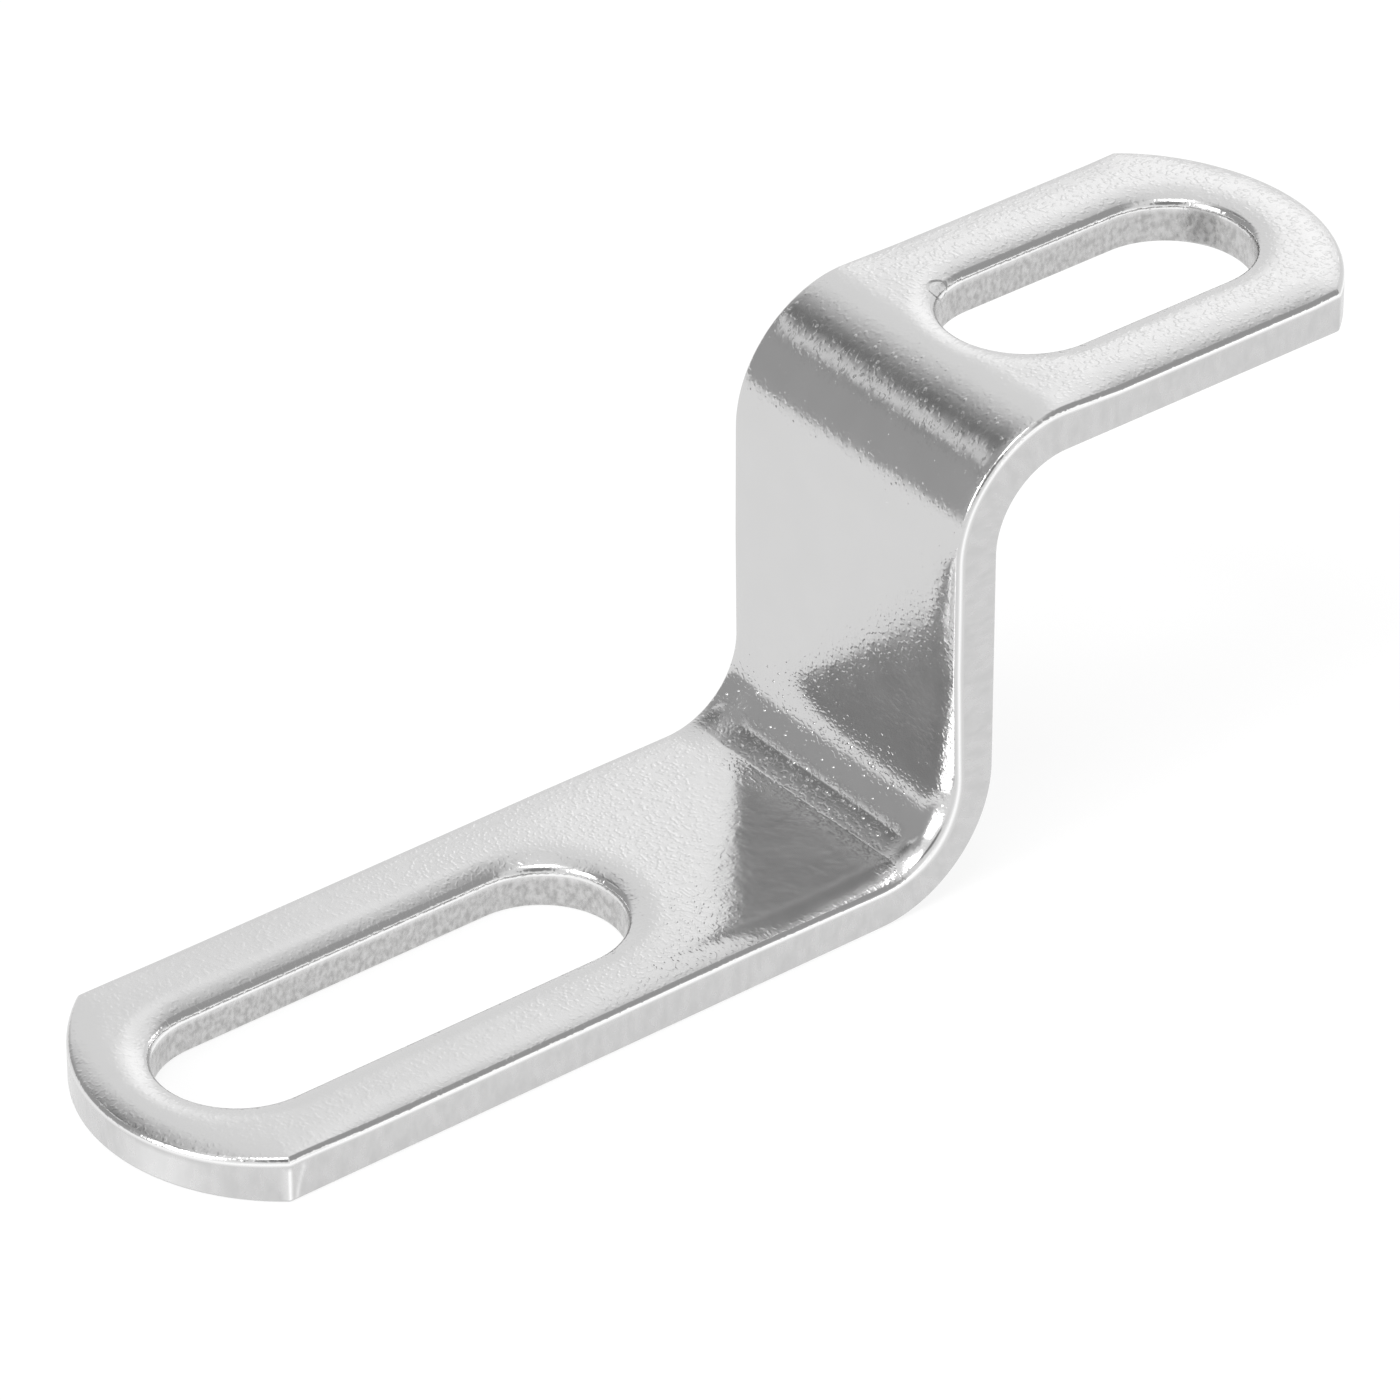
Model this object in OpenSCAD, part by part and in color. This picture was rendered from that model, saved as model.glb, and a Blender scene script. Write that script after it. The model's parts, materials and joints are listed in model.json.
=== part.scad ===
// Z bracket: one strip of sheet steel, stamped to length with a slot near each end
// and folded twice, so that its two flanges lie parallel at different heights.
// Lengths are in millimetres. +Z is up and +Y runs along the strip, from the lower flange to the upper one.

/* [Strip] */
// Width of the strip
strip_w = 20; // [15:0.5:40]
// Thickness of the sheet
sheet_t = 3; // [1.5:0.25:4]
// Radius on the inside of both bends
bend_r = 5; // [3:0.5:7]

/* [Z form] */
// Height from the underside of the lower flange to the underside of the upper flange
offset_h = 27; // [22:1:80]
// Reach of the lower flange, from its tip to the front of the riser
lower_reach = 52; // [44:1:120]
// Reach of the upper flange, from its tip to the back of the riser
upper_reach = 30.5; // [28:0.5:120]

/* [Flange ends] */
// Radius of each rounded end, over half the width of the strip
end_over = 2.5; // [1:0.25:8]
// Radius of the corners where a rounded end meets the long sides
corner_r = 1.2; // [1:0.1:2.5]

/* [Slots] */
// Width of both slots
slot_w = 10; // [5:0.5:12]
// Length of the lower slot, from end to end
lower_slot_l = 31; // [16:1:36]
// Length of the upper slot, from end to end
upper_slot_l = 21; // [14:1:23]
// Metal left between the tip of the lower flange and its slot
lower_web = 4; // [3:0.5:8]
// Metal left between the tip of the upper flange and its slot
upper_web = 4.25; // [3:0.25:6]

/* [Edges] */
// Radius that stamping rolls over the edges on the punch side
roll_r = 0.6; // [0.2:0.1:0.9]
// Radius of the small break on the edges of the die side
break_r = 0.2; // [0.1:0.05:0.4]

/* [Hidden] */
$fn = 96;

half_w = strip_w / 2;
half_slot = slot_w / 2;
end_r = half_w + end_over;

// The origin is the middle of the lower slot, on the underside of the lower flange
lower_slot_y = 0;
lower_tip_y = lower_slot_y - lower_slot_l / 2 - lower_web;
riser_front_y = lower_tip_y + lower_reach;
riser_back_y = riser_front_y + sheet_t;
upper_tip_y = riser_back_y + upper_reach;
upper_slot_y = upper_tip_y - upper_web - upper_slot_l / 2;

// Axes of the two bends: above the lower flange, and below the upper one
lower_bend_y = riser_front_y - bend_r;
lower_bend_z = sheet_t + bend_r;
upper_bend_y = riser_back_y + bend_r;
upper_bend_z = offset_h - bend_r;

// How far a corner's arc runs past the sides that it joins, so that it crosses them
corner_ease = 0.01;
// Middle of a corner's arc, measured from the middle of the rounded end that it runs into
corner_x = half_w - corner_r + corner_ease;
corner_y = sqrt(pow(end_r - corner_r + corner_ease, 2) - pow(corner_x, 2));

// How far a cutter passes through a face
pass = 1;

// Section through the sheet from x = 0 to an edge: die side at y = 0, punch side at y = sheet_t
module half_section(reach) {
    square([reach - roll_r, sheet_t]);
    translate([0, break_r]) square([reach, sheet_t - break_r - roll_r]);
    square([reach - break_r, sheet_t / 2]);
    translate([reach - roll_r, sheet_t - roll_r]) circle(roll_r);
    translate([reach - break_r, break_r]) circle(break_r);
}

// Section across the whole strip
module strip_section() {
    half_section(half_w);
    mirror([1, 0]) half_section(half_w);
}

// Half of the section of a slot's cutter, which opens out to the rolled and broken edges of the slot
module slot_half_section() {
    difference() {
        translate([0, -pass]) square([half_slot + roll_r, sheet_t + 2 * pass]);
        translate([half_slot, break_r]) square([2 * roll_r, sheet_t - break_r - roll_r]);
        translate([half_slot + roll_r, sheet_t - roll_r]) circle(roll_r);
        translate([half_slot + break_r, break_r]) circle(break_r);
        translate([half_slot + break_r, -2 * pass]) square([2 * roll_r, sheet_t / 2 + 2 * pass]);
    }
}

// Straight run of strip along Y, with its punch side up
module flat_run(from_y, to_y) {
    translate([0, to_y, 0]) rotate([90, 0, 0]) linear_extrude(to_y - from_y) strip_section();
}

// Outline of what a corner loses: the wedge outside its arc, with the middle of the arc at the origin
module corner_waste() {
    difference() {
        polygon([[0, 0], [half_w, 0], [half_w, -end_r], [corner_x, -corner_y]]);
        circle(corner_r);
    }
}

// Flange from its rounded tip at y = 0 to the start of a bend, pointing to -Y
module flange(straight_end) {
    difference() {
        intersection() {
            flat_run(0, straight_end);
            union() {
                translate([0, end_r, 0]) rotate_extrude() half_section(end_r);
                translate([-strip_w, end_r, -pass]) cube([2 * strip_w, straight_end, sheet_t + 2 * pass]);
            }
        }
        for (side = [0, 1]) mirror([side, 0, 0])
            translate([corner_x, end_r - corner_y, -pass]) linear_extrude(sheet_t + 2 * pass) corner_waste();
    }
}

// Cutter for a slot along Y with its middle at the origin
module slot_cutter(slot_l) {
    straight = slot_l - slot_w;
    translate([0, straight / 2, 0]) rotate([90, 0, 0]) linear_extrude(straight) {
        slot_half_section();
        mirror([1, 0]) slot_half_section();
    }
    for (turn = [0, 180])
        rotate(turn) translate([0, straight / 2, 0]) rotate_extrude(angle = 180) slot_half_section();
}

// Quarter turn of the strip about the X axis, from straight down round to +Y
module quarter_bend() {
    rotate([0, 90, 0]) rotate_extrude(angle = 90) children();
}

// The whole folded strip with its slots
module z_bracket() {
    color("silver") difference() {
        union() {
            translate([0, lower_tip_y, 0]) flange(lower_bend_y - lower_tip_y);
            translate([0, lower_bend_y, lower_bend_z]) quarter_bend()
                translate([bend_r + sheet_t, 0]) rotate(90) strip_section();
            translate([0, riser_back_y, lower_bend_z]) rotate(180)
                linear_extrude(upper_bend_z - lower_bend_z) strip_section();
            translate([0, upper_bend_y, upper_bend_z]) rotate([180, 0, 0]) quarter_bend()
                translate([bend_r, 0]) rotate(-90) strip_section();
            translate([0, upper_tip_y, offset_h]) rotate(180) flange(upper_tip_y - upper_bend_y);
        }
        translate([0, lower_slot_y, 0]) slot_cutter(lower_slot_l);
        translate([0, upper_slot_y, offset_h]) slot_cutter(upper_slot_l);
    }
}

z_bracket();
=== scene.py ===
"""Looks of the z bracket: a stamped and folded strip of sheet steel in bright nickel plate.

The strip is meshed flat, with its rolled edges and slots, and then folded round the two bends.
A point of the flat strip has x across it, p along it, and h from the die side up to the punch side.
Lengths are in millimetres until the mesh is made, and in metres from there on.
"""
import json
import math

import bmesh
import bpy
import numpy as np
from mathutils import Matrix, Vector
from mathutils.geometry import delaunay_2d_cdt


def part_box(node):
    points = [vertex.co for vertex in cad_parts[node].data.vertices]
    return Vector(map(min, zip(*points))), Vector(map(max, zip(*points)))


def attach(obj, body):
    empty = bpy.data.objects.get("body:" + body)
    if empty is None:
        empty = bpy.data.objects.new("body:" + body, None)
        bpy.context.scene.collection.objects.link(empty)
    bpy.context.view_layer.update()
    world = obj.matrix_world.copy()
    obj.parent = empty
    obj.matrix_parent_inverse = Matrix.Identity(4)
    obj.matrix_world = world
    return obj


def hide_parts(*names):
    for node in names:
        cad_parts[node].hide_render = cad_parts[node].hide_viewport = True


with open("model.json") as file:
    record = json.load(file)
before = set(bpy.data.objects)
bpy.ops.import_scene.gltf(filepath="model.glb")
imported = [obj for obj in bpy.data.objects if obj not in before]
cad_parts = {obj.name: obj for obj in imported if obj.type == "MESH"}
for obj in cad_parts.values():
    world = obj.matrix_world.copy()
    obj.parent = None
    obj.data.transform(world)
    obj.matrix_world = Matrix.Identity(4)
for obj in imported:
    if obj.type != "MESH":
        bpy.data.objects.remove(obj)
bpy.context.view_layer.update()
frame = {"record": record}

MM = 0.001
RIGHT_ANGLE = math.pi / 2
HALF_TURN = math.pi
NODE = "z_bracket"

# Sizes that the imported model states
mounts = {mount["name"]: mount for mount in frame["record"]["mounts"]}
node_low, node_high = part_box(NODE)
HALF_W = (node_high.x - node_low.x) / 2 / MM
LOWER_TIP = node_low.y / MM
UPPER_TIP = node_high.y / MM
TOP_Z = node_high.z / MM
SHEET_T = (mounts["upper_clamp_face"]["pos_m"][2] - mounts["upper_seat"]["pos_m"][2]) / MM
SLOT_R = mounts["lower_slot"]["dims"]["hole_r_mm"]

# Sizes of the strip that the record doesn't hold
BEND_R = 5.0
LOWER_REACH = 52.0
END_OVER = 2.5
END_R = HALF_W + END_OVER
CORNER_R = 0.4
BREAK_R = 0.2

# How the stamped edges roll over, round the strip and round the slots: the face sags towards the edge
# over a reach, down to a lean, and an arc takes it on from the rim to the wall. A painted highlight, a bright
# line painted into the base colour, runs along the arc, where it has turned by the angle called shine.
STRIP_ROLL = {"reach": 2.1, "lean": math.radians(24), "rim": 0.31, "shine": math.radians(71)}
SLOT_RIM = 0.37
SLOT_ROLLS = {
    "lower_slot": {"reach": 2.0, "lean": math.radians(25), "rim": SLOT_RIM, "shine": math.radians(80)},
    "upper_slot": {"reach": 1.7, "lean": math.radians(22), "rim": SLOT_RIM, "shine": math.radians(80)},
}

# Larger arc of the strip's edge inside the lower bend, where the metal was pushed out sideways
BULGE_ARC = 0.3
BULGE_SPREAD = 3.0

# Share of the full sag along the strip, on its -X side, at the ends of the slots and by the lower corners
LOWER_SAG = 0.6
RISER_SAG = 0.35
UPPER_BEND_SAG = 0.15
UPPER_SAG = 0.85
UPPER_TIP_SAG = 0.35
FAR_SAG = 0.3
SLOT_END_SAG = 0.6
CORNER_SAG = 0.2
CORNER_SAG_SPREAD = 4.0

# Slope inside the lower bend at turns round it, both in degrees: the fold starts late, runs in a chamfer
# up to the crease that the nose of the bending punch left, and bellies out a little above it
FOLD_TURNS = (0, 12, 19, 20, 30, 36.5, 37.5, 42, 44.5, 60, 75, 82, 90)
FOLD_SLOPES = (0.3, 1, 2.5, 23.5, 26.5, 31, 40, 43.5, 48, 65.5, 79.7, 86, 90)
FOLD_STEPS = 360

# Slope of the lower flange in degrees, at places before the bend: it waves a little
LEAD_PLACES = (-24, -18, -10, -3, 0)
LEAD_SLOPES = (0, 1.0, -1.0, -0.3, 0.6)
LEAD_STEP = 0.1

# Length of riser over which the fold's form settles, where the form of the bends starts and ends across
# the strip, and over what width it fades in at either end
FOLD_SETTLE = 10.0
FOLD_FROM = -9.6
FOLD_TO = 9.4
FOLD_FADE_FROM = 3.0
FOLD_FADE_TO = 2.0

# Dip where the upper bend runs out into its flange, and how far it reaches
DIP_DEPTH = 0.055
DIP_REACH = 2.8

# Where the painted highlight, a bright line in the base colour, lies on the riser's edges, its spread, its
# strength on an edge that faces along the strip, and what it gains on one that faces +X
SHINE_TURN_RISER = math.radians(58)
SHINE_SPREAD = math.radians(11)
SHINE_BASE = 0.5
SHINE_GAIN = 0.7

# Painted highlights on the outer wall at the lower tip: a bright line on the +X corner in place of a ridge, a
# painted bright trim line beside it that leans away towards the punch side, and a gleam on the rounded end
MARK_HALF = 0.13
TRIM_SHINE = 0.45
TRIM_FROM = 0.3
TRIM_LEAN = 0.9
TRIM_CURVE = 1.5
GLEAM_SHINE = 0.4
GLEAM_X = 4.0
GLEAM_HALF = 2.5

# Strength of the grain along the strip, in front of the lower bend and on the edges
LOWER_GRAIN = 0.8
FLAT_GRAIN = 2.0
BEND_GRAIN = 1.2
UPPER_BEND_GRAIN = 0.7
BY_BEND_GRAIN = 0.2
EDGE_GRAIN = 1.2

# Slant of the border of the smooth patch in front of the lower bend, and where it starts and is full
BY_BEND_SLANT = 0.81
BY_BEND_FROM = -5.0
BY_BEND_FULL = 1.0

# Distance from an edge at which the edge's grain starts and is full
EDGE_GRAIN_FROM = 1.0
EDGE_GRAIN_FULL = 0.2

# Where across the strip the lower bend is pressed smooth, from its start to full, and the grain that it loses
PRESSED_FROM = 6.0
PRESSED_FULL = 8.0
PRESSED_LOSS = 0.8

# Strength of the specks in the upper bend, where the lower bend has 1
UPPER_SPECKS = 0.4

# Fineness of the mesh: steps along and across the strip, rows round the bends and edges, steps of the arcs
FLAT_STEP = 0.5
TRIM_STEP = 0.08
TRIM_PAST = 0.4
CROSS_STEP = 0.4
BEND_ROWS = 36
FOLD_ROWS = 120
ROLL_ROWS = 12
WALL_ROWS = 6
BREAK_ROWS = 4
END_ARC_STEP = math.radians(2)
SLOT_ARC_STEP = math.radians(4)
CORNER_ARC_STEP = math.radians(4)

# Least distance of inner points from a rim, of rows from the end of a side, and of any two points,
# the distance within which a point lies on a side, and the decimals that tell two rows apart
RIM_CLEAR = 0.3
ROW_CLEAR = 0.05
POINT_CLEAR = 1e-6
ON_SIDE = 0.01
ROW_DECIMALS = 4

# Runs of the strip, measured along its flat length: on the lower flange that is the row's own Y
BEND_L = RIGHT_ANGLE * (BEND_R + SHEET_T / 2)
RISER_L = TOP_Z - 2 * (BEND_R + SHEET_T)
lower_bend_p = LOWER_TIP + LOWER_REACH - BEND_R
riser_p = lower_bend_p + BEND_L
upper_bend_p = riser_p + RISER_L
upper_flat_p = upper_bend_p + BEND_L
upper_flat_y = LOWER_TIP + LOWER_REACH + SHEET_T + BEND_R
upper_tip_p = upper_flat_p + UPPER_TIP - upper_flat_y

# Middles of the rounded ends and of the corners beside them
lower_c = LOWER_TIP + END_R
upper_c = upper_tip_p - END_R
corner_x = HALF_W - CORNER_R
corner_rise = math.sqrt((END_R - CORNER_R) ** 2 - corner_x ** 2)
meet = math.atan2(corner_rise, corner_x)
lower_corner = lower_c - corner_rise
upper_corner = upper_c + corner_rise


def flat_p(y):
    """Place along the flat strip of a point of the upper flange."""
    return upper_flat_p + y - upper_flat_y


slots = []
for slot_name, to_flat in (("lower_slot", float), ("upper_slot", flat_p)):
    slot_mount = mounts[slot_name]
    slots.append({
        "middle": to_flat(slot_mount["pos_m"][1] / MM),
        "half_run": slot_mount["dims"]["slot_length_mm"] / 2 - SLOT_R,
        "roll": SLOT_ROLLS[slot_name],
    })


def ease(value, start, end):
    """Smooth step from 0 at start to 1 at end."""
    share = np.clip((value - start) / (end - start), 0.0, 1.0)
    return share * share * (3 - 2 * share)


def along_strip(p, stops):
    """Value along the strip, which runs straight from stop to stop. A stop is a place and a value."""
    return np.interp(p, *zip(*stops))


def fold(x, p, h):
    """Carries points of the flat strip round the bends."""
    lower_turn = np.clip((p - lower_bend_p) / BEND_L, 0, 1) * RIGHT_ANGLE
    upper_turn = np.clip((p - upper_bend_p) / BEND_L, 0, 1) * RIGHT_ANGLE
    lower_r = BEND_R + SHEET_T - h
    upper_r = BEND_R + h
    y = np.minimum(p, lower_bend_p) + lower_r * np.sin(lower_turn)
    y = y + upper_r * (1 - np.cos(upper_turn)) + np.maximum(p - upper_flat_p, 0)
    z = BEND_R + SHEET_T - lower_r * np.cos(lower_turn)
    z = z + np.clip(p - riser_p, 0, RISER_L) + upper_r * np.sin(upper_turn)
    return np.stack([x, y, z], axis=1)


def strip_room(x, p):
    """Distance of points of the flat strip from its outer edge."""
    room = HALF_W - np.abs(x)
    for middle, corner, way in ((lower_c, lower_corner, -1), (upper_c, upper_corner, 1)):
        past = way * (p - middle)
        room = np.minimum(room, np.where(past > 0, END_R - np.hypot(x, past), room))
        over_x = np.abs(x) - corner_x
        over_p = way * (p - corner)
        bearing = np.arctan2(over_p, over_x)
        at_corner = (bearing > 0) & (bearing < meet)
        room = np.where(at_corner, CORNER_R - np.hypot(over_x, over_p), room)
    return room


def one_slot_room(slot, x, p):
    """Distance of points of the flat strip from the edge of a slot."""
    past_run = np.maximum(np.abs(p - slot["middle"]) - slot["half_run"], 0)
    return np.hypot(x, past_run) - SLOT_R


def slot_room(x, p):
    """Distance of points of the flat strip from the nearest edge of a slot."""
    return np.minimum(*(one_slot_room(slot, x, p) for slot in slots))


def sag(room, roll):
    """How far the face lies below the sheet's thickness, at a distance from an edge."""
    run = roll["reach"] - roll["rim"]
    into = np.clip((roll["reach"] - room) / run, 0.0, 1.0)
    return math.tan(roll["lean"]) * run / 2 * into ** 2


def sag_share(x, p):
    """Share of the full sag that the strip's edge has."""
    along = along_strip(p, [
        (lower_corner - 1, 1), (lower_corner + 2, LOWER_SAG),
        (lower_bend_p - 9, LOWER_SAG), (lower_bend_p - 1, 1), (riser_p - 1, 1),
        (riser_p + 7, RISER_SAG), (upper_bend_p, RISER_SAG),
        (upper_bend_p + 3, UPPER_BEND_SAG), (upper_flat_p - 1, UPPER_BEND_SAG),
        (upper_flat_p + 4, UPPER_SAG), (upper_corner - 2, UPPER_SAG), (upper_corner + 1, UPPER_TIP_SAG),
    ])
    across = np.interp(x, [-HALF_W, -HALF_W / 2], [FAR_SAG, 1])
    from_corner = np.hypot(np.abs(x) - HALF_W, p - lower_corner)
    by_corner = 1 - (1 - CORNER_SAG) * np.exp(-(from_corner / CORNER_SAG_SPREAD) ** 2)
    return along * across * by_corner


def slot_sag_share(x):
    """Share of the full sag that a slot's edge has: all of it on the -X side, less elsewhere."""
    return np.interp(x, [-SLOT_R, -SLOT_R / 2], [1, SLOT_END_SAG])


def bulge(p):
    """Share of the lower bend's larger arc, along the strip."""
    return np.exp(-((p - (lower_bend_p + riser_p) / 2) / BULGE_SPREAD) ** 2)


def bend_end(x, p):
    """1 at the +X end of the lower bend, where its edge is pressed smooth, and 0 elsewhere."""
    return bulge(p) * ease(x, PRESSED_FROM, PRESSED_FULL)


def grain_share(x, p):
    """Strength of the grain, which differs along the strip and fades in front of the lower bend."""
    share = along_strip(p, [
        (lower_bend_p - 26, LOWER_GRAIN), (lower_bend_p - 18, FLAT_GRAIN), (lower_bend_p, FLAT_GRAIN),
        (lower_bend_p + 3, BEND_GRAIN), (riser_p - 2, BEND_GRAIN), (riser_p + 3, 1),
        (upper_bend_p, UPPER_BEND_GRAIN), (upper_flat_p - 1, UPPER_BEND_GRAIN),
        (upper_flat_p + 2, FLAT_GRAIN),
    ])
    before_bend = p - lower_bend_p - BEND_R + (x + HALF_W) * BY_BEND_SLANT
    faded = ease(before_bend, BY_BEND_FROM, BY_BEND_FULL) * ease(p, lower_bend_p + 1, lower_bend_p)
    share = share + (BY_BEND_GRAIN - share) * faded
    room = np.minimum(strip_room(x, p), slot_room(x, p))
    edge = ease(room, EDGE_GRAIN_FROM, EDGE_GRAIN_FULL)
    return (share + (EDGE_GRAIN - share) * edge) * (1 - PRESSED_LOSS * bend_end(x, p))


def speck_share(x, p):
    """Strength of the specks, which only the bends have."""
    along = along_strip(p, [
        (lower_bend_p, 0), (lower_bend_p + 3, 1), (riser_p - 2, 1), (riser_p + 3, 0),
        (upper_bend_p - 2, 0), (upper_bend_p + 1, UPPER_SPECKS), (upper_flat_p - 1, UPPER_SPECKS),
        (upper_flat_p + 2, 0),
    ])
    return along * (1 - bend_end(x, p))


def fold_gain(p):
    """How far the lower flange and the inside of its bend stand out from a plain flat and arc."""
    full_turn = math.degrees(RIGHT_ANGLE)
    turns = np.linspace(0, full_turn, FOLD_STEPS + 1)
    lean = np.radians(np.interp(turns, FOLD_TURNS, FOLD_SLOPES) - turns)
    rises = BEND_R * np.tan(lean[:-1]) * np.radians(turns[1])
    gain = np.concatenate([[0], np.cumsum(rises)])
    in_bend = np.interp(p, lower_bend_p + BEND_L * turns / full_turn, gain)
    before = np.arange(LEAD_PLACES[0], LEAD_PLACES[-1], LEAD_STEP)
    lead = np.cumsum(np.radians(np.interp(before, LEAD_PLACES, LEAD_SLOPES))) * LEAD_STEP
    in_front = np.interp(p, lower_bend_p + before, lead)
    return (in_bend + in_front) * ease(p, riser_p + FOLD_SETTLE, riser_p)


def upper_dip(p):
    """Depth of the dip where the upper bend runs out, along the strip."""
    run_out = np.clip((upper_flat_p + DIP_REACH - p) / DIP_REACH, 0, 1)
    return DIP_DEPTH * np.minimum(run_out ** 2, ease(p, upper_bend_p, upper_flat_p))


def punch_side(x, p):
    """Height of the punch side: the sheet's thickness and the bends' form, less the sag at the edges."""
    across = ease(x, FOLD_FROM, FOLD_FROM + FOLD_FADE_FROM) * ease(x, FOLD_TO, FOLD_TO - FOLD_FADE_TO)
    height = SHEET_T + (fold_gain(p) - upper_dip(p)) * across
    height = height - sag(strip_room(x, p), STRIP_ROLL) * sag_share(x, p)
    for slot in slots:
        height = height - sag(one_slot_room(slot, x, p), slot["roll"]) * slot_sag_share(x)
    return height


def strip_rows():
    """Places along the strip where the mesh has a row across it."""
    def even(start, end):
        return np.linspace(start, end, max(2, math.ceil((end - start) / FLAT_STEP) + 1))

    rows = np.concatenate([
        even(LOWER_TIP, lower_bend_p),
        np.arange(lower_corner, lower_corner + TRIM_FROM + TRIM_LEAN + TRIM_PAST, TRIM_STEP),
        np.linspace(lower_bend_p, riser_p, FOLD_ROWS + 1),
        even(riser_p, upper_bend_p),
        np.linspace(upper_bend_p, upper_flat_p, BEND_ROWS + 1),
        even(upper_flat_p, upper_tip_p),
    ])
    return np.unique(rows.round(ROW_DECIMALS))


def arc(centre, radius, start, end, step):
    """Points of an arc without its last one, as rows of place x, p and outward direction x, p."""
    count = max(2, math.ceil(abs(end - start) / step))
    angles = np.linspace(start, end, count + 1)[:-1]
    out = np.stack([np.cos(angles), np.sin(angles)], axis=1)
    return np.hstack([np.array(centre) + radius * out, out])


def side(x, from_p, to_p, rows):
    """Points of a straight side without its last one. Its points lie on the rows between its ends."""
    low, high = min(from_p, to_p), max(from_p, to_p)
    inner = rows[(rows > low + ROW_CLEAR) & (rows < high - ROW_CLEAR)]
    inner = inner if to_p > from_p else inner[::-1]
    places = np.concatenate([[from_p], inner])
    full = np.full(len(places), x)
    return np.stack([full, places, np.sign(full), np.zeros(len(places))], axis=1)


def strip_outline(rows):
    """Outline of the flat strip, anticlockwise, with its outward directions."""
    return np.vstack([
        arc((0, lower_c), END_R, HALF_TURN + meet, 2 * HALF_TURN - meet, END_ARC_STEP),
        arc((corner_x, lower_corner), CORNER_R, -meet, 0, CORNER_ARC_STEP),
        side(HALF_W, lower_corner, upper_corner, rows),
        arc((corner_x, upper_corner), CORNER_R, 0, meet, CORNER_ARC_STEP),
        arc((0, upper_c), END_R, meet, HALF_TURN - meet, END_ARC_STEP),
        arc((-corner_x, upper_corner), CORNER_R, HALF_TURN - meet, HALF_TURN, CORNER_ARC_STEP),
        side(-HALF_W, upper_corner, lower_corner, rows),
        arc((-corner_x, lower_corner), CORNER_R, HALF_TURN, HALF_TURN + meet, CORNER_ARC_STEP),
    ])


def slot_outline(slot, rows):
    """Outline of a slot. Its outward direction is out of the metal, so into the slot."""
    low_p = slot["middle"] - slot["half_run"]
    high_p = slot["middle"] + slot["half_run"]
    loop = np.vstack([
        arc((0, high_p), SLOT_R, 0, HALF_TURN, SLOT_ARC_STEP),
        side(-SLOT_R, high_p, low_p, rows),
        arc((0, low_p), SLOT_R, HALF_TURN, 2 * HALF_TURN, SLOT_ARC_STEP),
        side(SLOT_R, low_p, high_p, rows),
    ])
    loop[:, 2:] *= -1
    return loop


def wall_shine(loop, h):
    """Strength of the painted highlights on the outer wall at the lower tip."""
    x, p = loop[:, 0], loop[:, 1]
    ridge_x = corner_x + CORNER_R * math.cos(meet / 2)
    ridge_p = lower_corner - CORNER_R * math.sin(meet / 2)
    # Painted highlights only: the wall itself stays smooth here, with no ridge or trim line in the mesh
    corner_highlight = np.exp(-((x - ridge_x) ** 2 + (p - ridge_p) ** 2) / MARK_HALF ** 2)
    trim_p = lower_corner + TRIM_FROM + TRIM_LEAN * (h / SHEET_T) ** TRIM_CURVE
    line_highlight = TRIM_SHINE * np.exp(-((p - trim_p) / MARK_HALF) ** 2) * (x > HALF_W - ON_SIDE)
    on_tip = (np.hypot(x, p - lower_c) > END_R - ON_SIDE) & (p < lower_c)
    gleam = GLEAM_SHINE * np.exp(-((x - GLEAM_X) / GLEAM_HALF) ** 2) * on_tip
    return np.maximum(corner_highlight, np.maximum(line_highlight, gleam))


def edge_rings(loop, roll, part, bulge_arc):
    """Rings of points round an edge, from the punch side to the die side, as arrays of x, p, h and painted
    highlight strength.

    part is the share of the full sag at each point of the loop.
    """
    place, out = loop[:, :2], loop[:, 2:]
    p = place[:, 1]
    none = np.zeros(len(place))
    lean = np.arctan(math.tan(roll["lean"]) * part)
    rim_w = roll["rim"]
    rim_h = SHEET_T - sag(rim_w, roll) * part
    arc_r = rim_w / (1 - math.sin(roll["lean"])) + bulge_arc * bulge(p)
    wall_h = rim_h - arc_r * np.cos(lean)
    on_riser = ease(p, lower_bend_p, riser_p) * ease(p, upper_flat_p, upper_bend_p)
    shine_turn = roll["shine"] + (SHINE_TURN_RISER - roll["shine"]) * on_riser
    # Painted highlight: its strength by the way the edge faces, full towards +X, half across, none towards -X
    painted_highlight_by_side = np.clip(SHINE_BASE + SHINE_GAIN * out[:, 0], 0, 1)
    section = []
    for turn in np.linspace(lean, none + RIGHT_ANGLE, ROLL_ROWS + 1):
        inward = rim_w * (1 - np.sin(turn)) / (1 - np.sin(lean))
        h = rim_h - arc_r * (np.cos(lean) - np.cos(turn))
        shine = np.exp(-((turn - shine_turn) / SHINE_SPREAD) ** 2) * painted_highlight_by_side
        section.append((inward, h, shine))
    for down in np.linspace(0, 1, WALL_ROWS + 1)[1:-1]:
        h = wall_h * (1 - down) + BREAK_R * down
        section.append((none, h, wall_shine(loop, h)))
    for turn in np.linspace(0, RIGHT_ANGLE, BREAK_ROWS + 1):
        inward = BREAK_R * (1 - math.cos(turn))
        h = none + BREAK_R * (1 - math.sin(turn))
        section.append((none + inward, h, wall_shine(loop, h) * (inward == 0)))
    return [np.column_stack([place - out * inward[:, None], h, shine]) for inward, h, shine in section]


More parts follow.
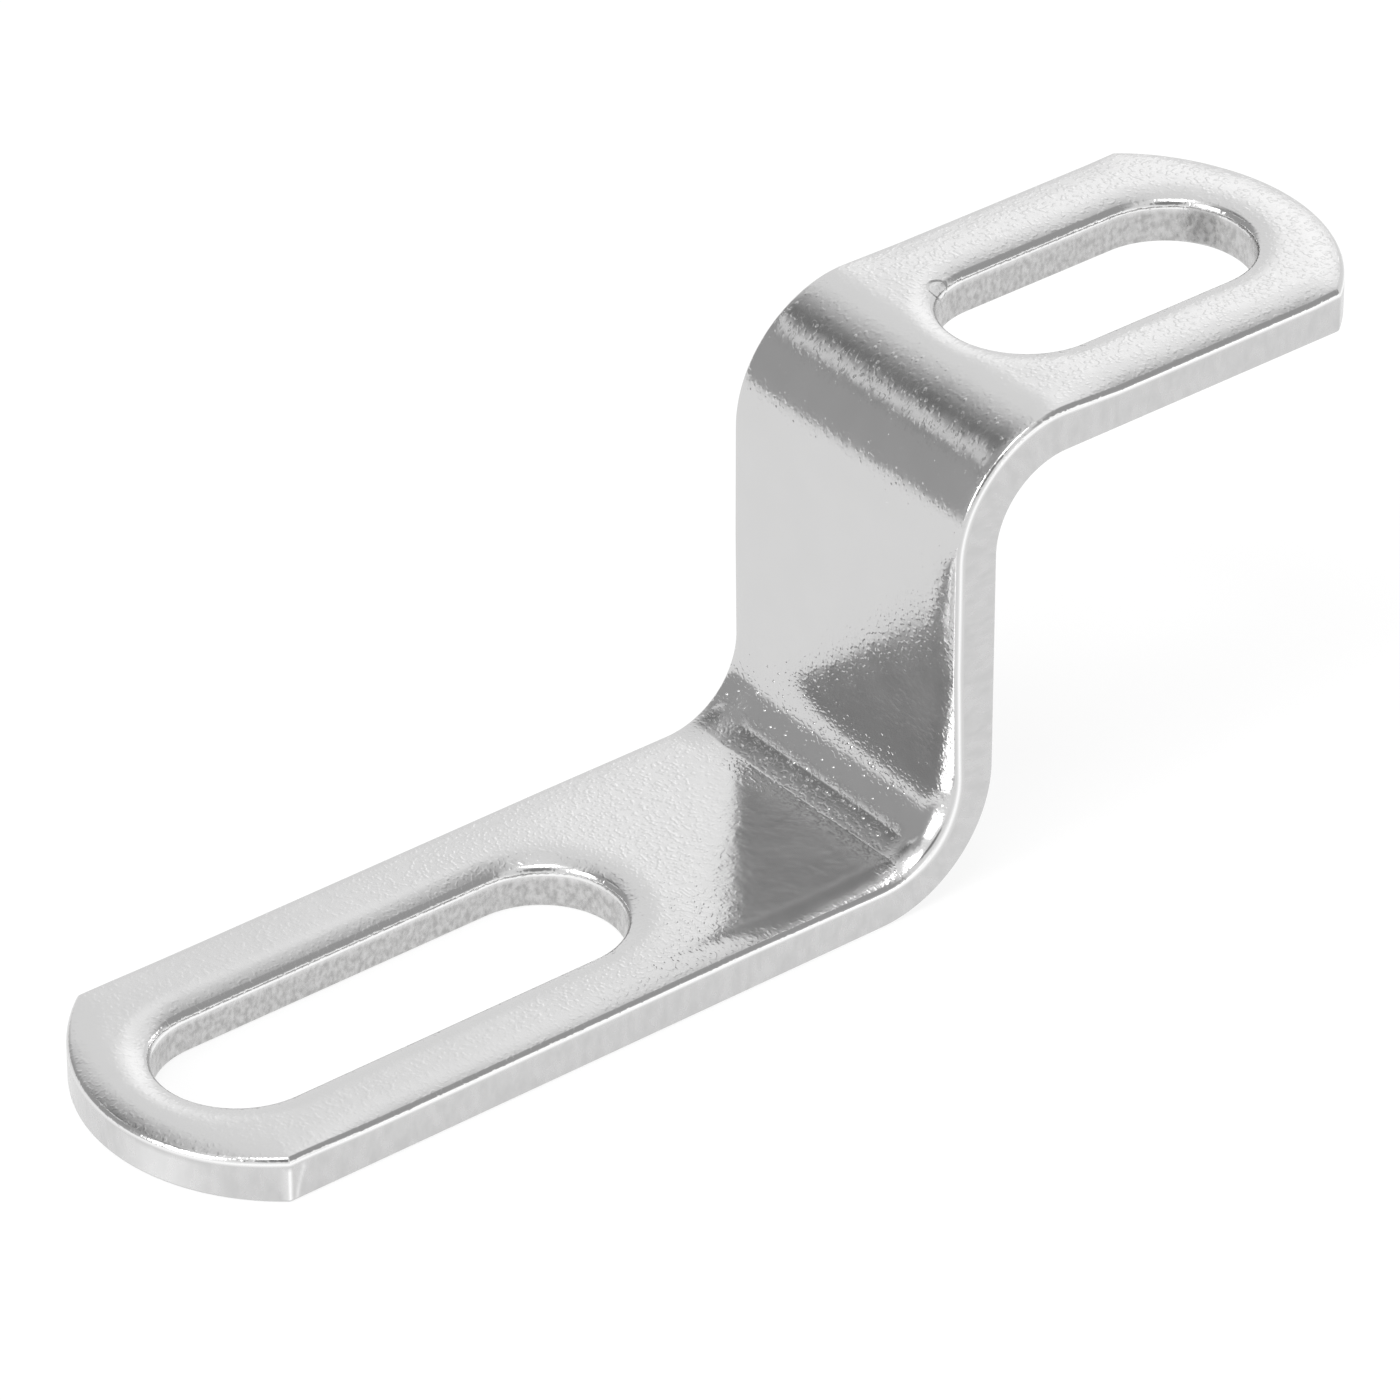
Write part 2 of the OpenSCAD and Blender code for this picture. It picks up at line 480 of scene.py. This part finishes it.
def fill_face(rims, rows, strip_rim, slot_rim):
    """Triangles over one side of the strip, between its rims of points. Gives the new inner points too."""
    def on_face(x, p, clear):
        return (strip_room(x, p) > strip_rim + clear) & (slot_room(x, p) > slot_rim + clear)

    across = np.linspace(-HALF_W, HALF_W, round(2 * HALF_W / CROSS_STEP) + 1)
    grid_x, grid_p = (values.ravel() for values in np.meshgrid(across, rows))
    keep = on_face(grid_x, grid_p, RIM_CLEAR)
    inner = np.column_stack([grid_x[keep], grid_p[keep]])
    places = np.vstack([rim[:, :2] for rim in rims] + [inner])
    edges = []
    start = 0
    for rim in rims:
        count = len(rim)
        edges += [(start + i, start + (i + 1) % count) for i in range(count)]
        start += count
    inside_outline = 1
    points = [Vector(place) for place in places]
    found = delaunay_2d_cdt(points, edges, [], inside_outline, POINT_CLEAR)
    _, _, found_triangles, origins, _, _ = found
    first_of = np.array([origin[0] for origin in origins])
    triangles = first_of[np.array(found_triangles)]
    middles = places[triangles].mean(axis=1)
    return inner, triangles[on_face(middles[:, 0], middles[:, 1], 0.0)].tolist()


def all_edges(rows):
    """Rings of the strip's outer edge and of each slot's edge."""
    outline = strip_outline(rows)
    edges = [edge_rings(outline, STRIP_ROLL, sag_share(outline[:, 0], outline[:, 1]), BULGE_ARC)]
    for slot in slots:
        outline = slot_outline(slot, rows)
        edges.append(edge_rings(outline, slot["roll"], slot_sag_share(outline[:, 0]), 0.0))
    return edges


def add_values(mesh, flat):
    """Gives each point its place on the flat strip, and the strengths of the painted highlight (shine), grain
    and specks.
    """
    x, p = flat[:, 0], flat[:, 1]
    mesh.attributes.new("flat", "FLOAT_VECTOR", "POINT").data.foreach_set("vector", flat[:, :3].ravel())
    strengths = {"shine": flat[:, 3], "grain": grain_share(x, p), "specks": speck_share(x, p)}
    for name, values in strengths.items():
        mesh.attributes.new(name, "FLOAT", "POINT").data.foreach_set("value", values)


def smooth_outwards(mesh):
    """Turns all the faces outwards and shades them smooth."""
    work = bmesh.new()
    work.from_mesh(mesh)
    bmesh.ops.recalc_face_normals(work, faces=work.faces)
    work.to_mesh(mesh)
    work.free()
    mesh.polygons.foreach_set("use_smooth", [True] * len(mesh.polygons))


def strip_mesh():
    """The folded strip as one closed mesh."""
    rows = strip_rows()
    edges = all_edges(rows)
    wall_kinds = [OUTER_WALL] + [SLOT_WALL] * len(slots)
    blocks = []
    faces = []
    kinds = []
    ring_starts = []
    count = 0
    for rings, wall_kind in zip(edges, wall_kinds):
        size = len(rings[0])
        starts = [count + size * row for row in range(len(rings))]
        ring_starts.append(starts)
        blocks += rings
        count += size * len(rings)
        for row in range(len(rings) - 1):
            upper, lower = starts[row], starts[row + 1]
            for i in range(size):
                following = (i + 1) % size
                faces.append((upper + i, upper + following, lower + following, lower + i))
                kinds.append(FACE if row < ROLL_ROWS else wall_kind)
    punch_rims = (STRIP_ROLL["rim"], SLOT_RIM)
    die_rims = (BREAK_R, BREAK_R)
    for ring_at, rim_widths in ((0, punch_rims), (-1, die_rims)):
        rims = [rings[ring_at] for rings in edges]
        inner, triangles = fill_face(rims, rows, *rim_widths)
        none = np.zeros(len(inner))
        height = punch_side(inner[:, 0], inner[:, 1]) if ring_at == 0 else none
        index = []
        for starts, rim in zip(ring_starts, rims):
            index += [starts[ring_at] + i for i in range(len(rim))]
        index += [count + i for i in range(len(inner))]
        blocks.append(np.column_stack([inner, height, none]))
        count += len(inner)
        faces += [tuple(index[i] for i in triangle) for triangle in triangles]
        kinds += [FACE] * len(triangles)
    flat = np.vstack(blocks)
    spots = fold(flat[:, 0], flat[:, 1], flat[:, 2]) * MM
    mesh = bpy.data.meshes.new("folded_strip")
    mesh.from_pydata(spots.tolist(), [], faces)
    mesh.polygons.foreach_set("material_index", kinds)
    add_values(mesh, flat)
    smooth_outwards(mesh)
    return mesh


# Sockets of a mix node by kind of value: first value, second value and result
MIX_SOCKETS = {"FLOAT": (2, 3, 0), "RGBA": (6, 7, 2)}


def add_node(tree, kind, links=None, **settings):
    """Adds a node, sets its properties, and fills its sockets with values or with other sockets."""
    node = tree.nodes.new(kind)
    for name, value in settings.items():
        setattr(node, name, value)
    for name, value in (links or {}).items():
        socket = node.inputs[name]
        if isinstance(value, bpy.types.NodeSocket):
            tree.links.new(value, socket)
        else:
            socket.default_value = value
    return node


def reckon(tree, operation, *values, **settings):
    """Result of a sum on numbers."""
    links = dict(enumerate(values))
    return add_node(tree, "ShaderNodeMath", links, operation=operation, **settings).outputs["Value"]


def compare(tree, operation, first, second):
    """Number that an operation on two vectors gives."""
    links = {0: first, 1: second}
    return add_node(tree, "ShaderNodeVectorMath", links, operation=operation).outputs["Value"]


def ramp(tree, value, start, end, low=0.0, high=1.0, kind="SMOOTHSTEP"):
    """Runs from low, where the value is at start, to high, where it is at end."""
    links = {"Value": value, "From Min": start, "From Max": end, "To Min": low, "To Max": high}
    return add_node(tree, "ShaderNodeMapRange", links, interpolation_type=kind).outputs["Result"]


def mix(tree, kind, factor, first, second):
    """First value where the factor is 0, second value where it is 1."""
    first_at, second_at, result_at = MIX_SOCKETS[kind]
    links = {"Factor": factor, first_at: first, second_at: second}
    return add_node(tree, "ShaderNodeMix", links, data_type=kind).outputs[result_at]


# Plate on the faces, on the outer walls and on the walls of the slots: two colours that it clouds between,
# its least and most roughness, the scale of the clouds, and how far they are drawn out through the thickness
PLATES = {
    "nickel_face": {
        "dull": (0.615, 0.613, 0.613, 1), "bright": (0.625, 0.623, 0.623, 1),
        "gloss": (0.13, 0.17), "cloud": 0.4, "squeeze": 1.0,
    },
    "nickel_wall": {
        "dull": (0.57, 0.568, 0.568, 1), "bright": (0.63, 0.628, 0.628, 1),
        "gloss": (0.20, 0.30), "cloud": 1.4, "squeeze": 0.5,
    },
    # Slot walls: their darker, more mottled colours are partly the duller sheared metal and partly painted
    # shade of the recess in the slots
    "nickel_slot_wall": {
        "dull": (0.42, 0.417, 0.415, 1), "bright": (0.62, 0.617, 0.615, 1),
        "gloss": (0.20, 0.35), "cloud": 3.0, "squeeze": 0.7,
    },
}
FACE, OUTER_WALL, SLOT_WALL = range(len(PLATES))
# Colour of the painted highlights, to which the shine attribute lifts the base colour along the edges
PAINTED_HIGHLIGHT = (0.97, 0.97, 0.97, 1)
CLOUD_DETAIL = 3.0
CLOUD_FROM = 0.35
CLOUD_FULL = 0.65

# Relief of the plate. Scales go by the millimetre, and depths are in metres.
GRAIN_SCALE = 4.2
GRAIN_DETAIL = 0.0
GRAIN_FROM = 0.48
GRAIN_FULL = 0.82
GRAIN_DEPTH = 0.0000062
SPECK_SCALE = 3.0
SPECK_REACH = 0.4
SPECK_POWER = 3.0
SPECK_DEPTH = 0.000045
PEEL_SCALE = 1.2
PEEL_DETAIL = 1.0
PEEL_DEPTH = 0.000012

# Dent at the rim of the upper slot: its middle in the row's X and Y, its radius, and the width of its border
DENT_X = -4.4
DENT_Y = 43.4
DENT_R = 0.98
DENT_EDGE = 0.22
DENT_DEPTH = 0.00006


def nickel(name, plate):
    """Bright nickel plate with a fine orange-peel grain."""
    material = bpy.data.materials.new(name)
    material.use_nodes = True
    tree = material.node_tree
    tree.nodes.clear()
    flat = add_node(tree, "ShaderNodeAttribute", attribute_name="flat").outputs["Vector"]
    squeezed = {"Vector": flat, "Scale": (1, 1, plate["squeeze"])}
    spot = add_node(tree, "ShaderNodeMapping", squeezed).outputs["Vector"]

    def strength(attribute):
        return add_node(tree, "ShaderNodeAttribute", attribute_name=attribute).outputs["Fac"]

    def noise(scale, detail):
        links = {"Vector": spot, "Scale": scale, "Detail": detail}
        return add_node(tree, "ShaderNodeTexNoise", links).outputs["Fac"]

    peel = noise(PEEL_SCALE, PEEL_DETAIL)
    grain = ramp(tree, noise(GRAIN_SCALE, GRAIN_DETAIL), GRAIN_FROM, GRAIN_FULL)
    grain = reckon(tree, "MULTIPLY", grain, strength("grain"))
    cells = add_node(tree, "ShaderNodeTexVoronoi", {"Vector": flat, "Scale": SPECK_SCALE})
    lot = add_node(tree, "ShaderNodeSeparateColor", {"Color": cells.outputs["Color"]}).outputs["Red"]
    speck = ramp(tree, cells.outputs["Distance"], SPECK_REACH, 0.0)
    speck = reckon(tree, "MULTIPLY", speck, reckon(tree, "POWER", lot, SPECK_POWER))
    speck = reckon(tree, "MULTIPLY", speck, strength("specks"))
    from_dent = compare(tree, "DISTANCE", flat, (DENT_X, flat_p(DENT_Y), SHEET_T))
    dent = ramp(tree, from_dent, DENT_R - DENT_EDGE, DENT_R)
    normal = None
    reliefs = ((peel, PEEL_DEPTH), (grain, GRAIN_DEPTH), (speck, SPECK_DEPTH), (dent, DENT_DEPTH))
    for height, depth in reliefs:
        links = {"Height": height, "Strength": 1.0, "Distance": depth}
        if normal is not None:
            links["Normal"] = normal
        normal = add_node(tree, "ShaderNodeBump", links).outputs["Normal"]
    tone = ramp(tree, noise(plate["cloud"], CLOUD_DETAIL), CLOUD_FROM, CLOUD_FULL, kind="LINEAR")
    gloss = ramp(tree, tone, 0.0, 1.0, *plate["gloss"], kind="LINEAR")
    plain = mix(tree, "RGBA", tone, plate["dull"], plate["bright"])
    # Painted highlight: where the shine attribute is set, the base colour is lifted towards near white
    colour = mix(tree, "RGBA", strength("shine"), plain, PAINTED_HIGHLIGHT)
    shader = add_node(
        tree, "ShaderNodeBsdfPrincipled",
        {"Base Color": colour, "Metallic": 1.0, "Roughness": gloss, "Normal": normal},
    )
    out = add_node(tree, "ShaderNodeOutputMaterial")
    tree.links.new(shader.outputs["BSDF"], out.inputs["Surface"])
    return material


# How much more the normals follow the larger faces round a point than the smaller ones
NORMAL_WEIGHT = 50


def bracket():
    """The bracket itself, in place of the plain solid."""
    mesh = strip_mesh()
    for name, plate in PLATES.items():
        mesh.materials.append(nickel(name, plate))
    piece = bpy.data.objects.new("folded_strip", mesh)
    bpy.context.scene.collection.objects.link(piece)
    level = piece.modifiers.new("level_faces", "WEIGHTED_NORMAL")
    level.mode = "FACE_AREA"
    level.weight = NORMAL_WEIGHT
    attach(piece, "root")
    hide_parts(NODE)


# Floor: half its width, its glow for the rays that see it, the colour that takes the shadow for them,
# and the colour with which it lights the object
FLOOR_HALF = 4.0
FLOOR_GLOW = 0.82
SHADOW_COLOUR = (0.2, 0.2, 0.2, 1)
FLOOR_COLOUR = (0.8, 0.8, 0.8, 1)
WHITE = (1, 1, 1, 1)


def seen_rays(tree):
    """1 for rays from the camera and for those by way of metal or glass, 0 for the rest."""
    path = add_node(tree, "ShaderNodeLightPath")
    total = path.outputs["Is Camera Ray"]
    for name in ("Is Glossy Ray", "Is Transmission Ray"):
        total = reckon(tree, "ADD", total, path.outputs[name], use_clamp=True)
    return total


def floor():
    """White floor that still takes the object's soft shadow."""
    mesh = bpy.data.meshes.new("floor")
    half = FLOOR_HALF
    corners = [(-half, -half, 0), (half, -half, 0), (half, half, 0), (-half, half, 0)]
    mesh.from_pydata(corners, [], [(0, 1, 2, 3)])
    ground = bpy.data.objects.new("floor", mesh)
    bpy.context.scene.collection.objects.link(ground)
    material = bpy.data.materials.new("floor_white")
    material.use_nodes = True
    tree = material.node_tree
    tree.nodes.clear()
    glow = add_node(tree, "ShaderNodeEmission", {"Color": WHITE, "Strength": FLOOR_GLOW})
    shade = add_node(tree, "ShaderNodeBsdfDiffuse", {"Color": SHADOW_COLOUR})
    seen = add_node(tree, "ShaderNodeAddShader", {0: glow.outputs["Emission"], 1: shade.outputs["BSDF"]})
    plain = add_node(tree, "ShaderNodeBsdfDiffuse", {"Color": FLOOR_COLOUR})
    either = add_node(
        tree, "ShaderNodeMixShader",
        {0: seen_rays(tree), 1: plain.outputs["BSDF"], 2: seen.outputs["Shader"]},
    )
    out = add_node(tree, "ShaderNodeOutputMaterial")
    tree.links.new(either.outputs["Shader"], out.inputs["Surface"])
    mesh.materials.append(material)


def direction(turn, rise):
    """Unit vector at an angle from +Y towards -X and at an angle above the floor, in degrees."""
    turn, rise = math.radians(turn), math.radians(rise)
    return (-math.sin(turn) * math.cos(rise), math.cos(turn) * math.cos(rise), math.sin(rise))


# Brightness of the studio's pale walls and of the patches on them. A later patch covers an earlier one.
# A patch lies round a direction: it is whole within its inner angle and gone at its outer one. A fade
# makes it run from nothing at one rise to whole at another, and top is a level that it runs to likewise.
WALL_LEVEL = 1.02
PATCHES = (
    # Bright panel across from the camera, which the flat faces mirror
    {"turn": 38, "rise": 43, "inner": 2, "outer": 17, "level": 1.22},
    {"turn": 43, "rise": 28, "inner": 0, "outer": 15, "level": 1.55},
    # Dark gap beside it, with a pale strip and a dark patch in it
    {"turn": 111, "rise": 46, "inner": 0, "outer": 30, "level": 0.20},
    {"turn": 120, "rise": 38, "inner": 7, "outer": 12, "level": 1.0, "fades": [(44.5, 39.5)]},
    {"turn": 146, "rise": 47, "inner": 9, "outer": 15, "level": 0.45},
    # Grey side under the gap
    {
        "turn": 128, "rise": 15, "inner": 20, "outer": 48, "level": 0.46,
        "fades": [(1.5, 3.0), (37, 35.5)], "top": (31, 33, 0.36),
    },
    # Dark ceiling to the right
    {"turn": -25, "rise": 48, "inner": 10, "outer": 38, "level": 0.46},
    {"turn": -50, "rise": 30, "inner": 16, "outer": 30, "level": 0.46},
    # Bright strip low down on the right
    {"turn": -58, "rise": 0, "inner": 20, "outer": 40, "level": 1.4, "fades": [(13, 8)]},
    # Shade behind the camera
    {"turn": 231, "rise": 34, "inner": 14, "outer": 24, "level": 0.3},
)


def studio():
    """World: pale walls all round, with bright, grey and dark patches for the metal to mirror."""
    world = bpy.data.worlds.new("studio")
    bpy.context.scene.world = world
    world.use_nodes = True
    tree = world.node_tree
    tree.nodes.clear()
    towards = add_node(tree, "ShaderNodeTexCoord").outputs["Generated"]
    height = add_node(tree, "ShaderNodeSeparateXYZ", {"Vector": towards}).outputs["Z"]

    def between(start, end):
        """Smooth step from 0 at one rise to 1 at another, in degrees."""
        return ramp(tree, height, math.sin(math.radians(start)), math.sin(math.radians(end)))

    def near(turn, rise, inner, outer):
        """1 within the inner angle of a direction, falling to 0 at the outer one."""
        lean = compare(tree, "DOT_PRODUCT", towards, direction(turn, rise))
        apart = reckon(tree, "ARCCOSINE", lean)
        return ramp(tree, apart, math.radians(outer), math.radians(inner))

    light = WALL_LEVEL
    for patch in PATCHES:
        mask = near(patch["turn"], patch["rise"], patch["inner"], patch["outer"])
        for start, end in patch.get("fades", []):
            mask = reckon(tree, "MULTIPLY", mask, between(start, end))
        level = patch["level"]
        if "top" in patch:
            start, end, top_level = patch["top"]
            level = mix(tree, "FLOAT", between(start, end), level, top_level)
        light = mix(tree, "FLOAT", mask, light, level)
    glow = add_node(tree, "ShaderNodeBackground", {"Color": WHITE, "Strength": light})
    out = add_node(tree, "ShaderNodeOutputWorld")
    tree.links.new(glow.outputs["Background"], out.inputs["Surface"])


# Camera and lamps: the point that they face, on which side of it they stand, and how far off
AIM = (-0.00268, 0.02426, 0.01038)
CAMERA_TURN = 231.34
CAMERA_RISE = 33.48
CAMERA_DISTANCE = 0.5245
SENSOR = 36.0
LENS = 236.24
CLIP_NEAR = 0.01
CLIP_FAR = 20
LAMP_DISTANCE = 0.9
LAMPS = (
    {"name": "top", "turn": 212, "rise": 72, "size": 0.38, "power": 2.0},
    {"name": "front", "turn": 176, "rise": 28, "size": 0.44, "power": 2.5},
)


def stand(name, data, turn, rise, distance):
    """Stands the camera or a lamp on one side of the object, facing it."""
    thing = bpy.data.objects.new(name, data)
    bpy.context.scene.collection.objects.link(thing)
    away = Vector(direction(turn, rise))
    thing.location = Vector(AIM) + away * distance
    thing.rotation_euler = away.to_track_quat("Z", "Y").to_euler()
    return thing


def soft_box(name, turn, rise, size, power):
    """Square lamp that faces the object."""
    data = bpy.data.lights.new(name, "AREA")
    data.shape = "SQUARE"
    data.size = size
    data.energy = power
    stand(name, data, turn, rise, LAMP_DISTANCE)


def camera():
    """Camera at the photograph's viewing angle."""
    data = bpy.data.cameras.new("camera")
    data.sensor_width = SENSOR
    data.lens = LENS
    data.clip_start = CLIP_NEAR
    data.clip_end = CLIP_FAR
    bpy.context.scene.camera = stand("camera", data, CAMERA_TURN, CAMERA_RISE, CAMERA_DISTANCE)


bpy.context.scene.view_settings.view_transform = "Standard"
camera()
bracket()
floor()
studio()
for lamp in LAMPS:
    soft_box(**lamp)
